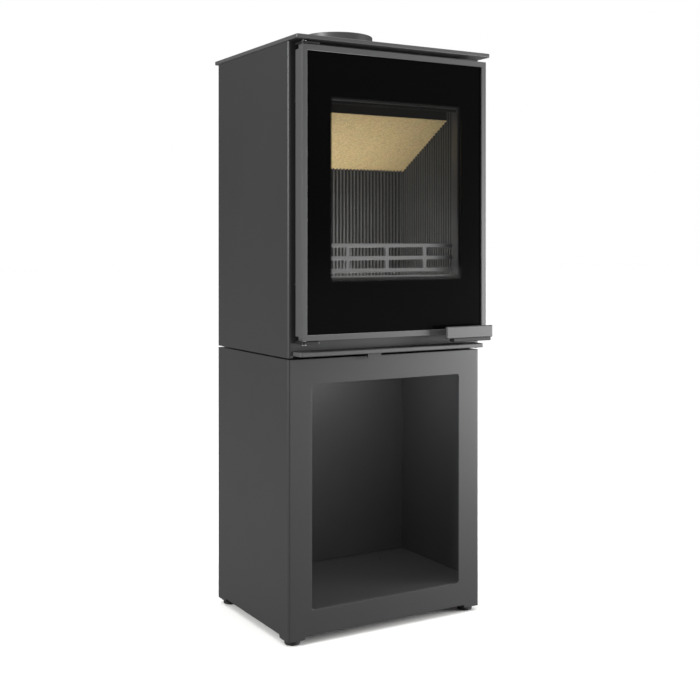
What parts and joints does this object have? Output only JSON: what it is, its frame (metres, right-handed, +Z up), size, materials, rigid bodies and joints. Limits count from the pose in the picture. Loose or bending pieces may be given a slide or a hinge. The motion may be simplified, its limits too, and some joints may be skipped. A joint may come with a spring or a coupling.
{
  "type": "wood burning stove",
  "caption": "Free-standing steel wood stove with a glazed hinged door, lined firebox, lever handle, sliding air control, top flue collar and an open log store below.",
  "frame": {"origin": "on the floor under the middle of the whole outline, with the levelling feet screwed right in", "axes": "+Z up, -Y towards the door and the log store opening, +X to the viewer's right when facing the door"},
  "size_m": [0.442, 0.396, 1.187],
  "materials": {
    "casing_paint": "satin",
    "frame_paint": "satin",
    "lining_iron": "matte",
    "inner_steel": "matte",
    "foot_paint": "satin",
    "zinc_steel": "satin",
    "handle_steel": "satin",
    "ceramic_glass": "gloss",
    "rope_seal": "matte",
    "vermiculite": "matte"
  },
  "bodies": {
    "stove": {"base_casing": "casing_paint", "base_top_panel": "casing_paint", "base_floor_panel": "casing_paint", "store_back_wall": "casing_paint", "base_rear_cover": "casing_paint", "foot_rail_left": "zinc_steel", "foot_rail_right": "zinc_steel", "spacer_bar_left": "inner_steel", "spacer_bar_right": "inner_steel", "stove_bolt_front_left": "zinc_steel", "stove_bolt_front_right": "zinc_steel", "stove_bolt_back_left": "zinc_steel", "stove_bolt_back_right": "zinc_steel", "stove_casing": "casing_paint", "bottom_plate": "frame_paint", "top_plate": "frame_paint", "back_panel": "casing_paint", "flue_collar": "frame_paint", "fire_front_plate": "frame_paint", "firebox_floor": "inner_steel", "firebox_wall_left": "inner_steel", "firebox_wall_right": "inner_steel", "firebox_back_wall": "inner_steel", "firebox_roof": "inner_steel", "side_lining_left": "lining_iron", "side_lining_right": "lining_iron", "rear_lining": "lining_iron", "baffle_board": "vermiculite", "smoke_deflector": "inner_steel", "air_wash_bar": "inner_steel", "secondary_air_duct": "inner_steel", "fire_bed": "lining_iron", "ash_pan": "inner_steel", "air_box": "inner_steel", "air_inlet_spigot": "inner_steel", "hinge_bracket_upper": "inner_steel", "hinge_pin_upper": "zinc_steel", "hinge_bracket_lower": "inner_steel", "hinge_pin_lower": "zinc_steel", "latch_keeper": "zinc_steel"},
    "door": {"door_frame": "frame_paint", "door_glass": "ceramic_glass", "glass_tape": "rope_seal", "door_inner_frame": "inner_steel", "door_seal": "rope_seal", "handle_pin": "zinc_steel", "door_screw_upper_left": "inner_steel", "door_screw_lower_left": "inner_steel", "door_screw_upper_right": "inner_steel", "door_screw_lower_right": "inner_steel"},
    "handle": {"handle_bar": "handle_steel", "handle_lever": "inner_steel"},
    "air_control": {"air_slider": "casing_paint"},
    "loose_grate": {"grate": "lining_iron"},
    "retainer": {"log_retainer": "frame_paint"},
    "foot_front_left": {"levelling_foot_front_left": "foot_paint"},
    "foot_front_right": {"levelling_foot_front_right": "foot_paint"},
    "foot_back_left": {"levelling_foot_back_left": "foot_paint"},
    "foot_back_right": {"levelling_foot_back_right": "foot_paint"}
  },
  "joints": [
    {"name": "door_swing", "type": "hinge", "parent": "stove", "child": "door", "pos_m": [-0.2, -0.163, 0.8465], "axis": [0, 0, -1], "range_deg": [0, 110]},
    {"name": "handle_turn", "type": "hinge", "parent": "door", "child": "handle", "pos_m": [0.205, -0.168, 0.566], "axis": [0, 0, 1], "range_deg": [0, 25]},
    {"name": "air_control_slide", "type": "slide", "parent": "stove", "child": "air_control", "axis": [1, 0, 0], "range_m": [0, 0.08]},
    {"name": "grate_lift", "type": "slide", "parent": "stove", "child": "loose_grate", "axis": [0, 0, 1], "range_m": [0, 0.03]},
    {"name": "retainer_lift", "type": "slide", "parent": "stove", "child": "retainer", "axis": [0, 0, 1], "range_m": [0, 0.03]},
    {"name": "foot_front_left_screw", "type": "slide", "parent": "stove", "child": "foot_front_left", "axis": [0, 0, -1], "range_m": [0, 0.012]},
    {"name": "foot_front_right_screw", "type": "slide", "parent": "stove", "child": "foot_front_right", "axis": [0, 0, -1], "range_m": [0, 0.012]},
    {"name": "foot_back_left_screw", "type": "slide", "parent": "stove", "child": "foot_back_left", "axis": [0, 0, -1], "range_m": [0, 0.012]},
    {"name": "foot_back_right_screw", "type": "slide", "parent": "stove", "child": "foot_back_right", "axis": [0, 0, -1], "range_m": [0, 0.012]}
  ]
}
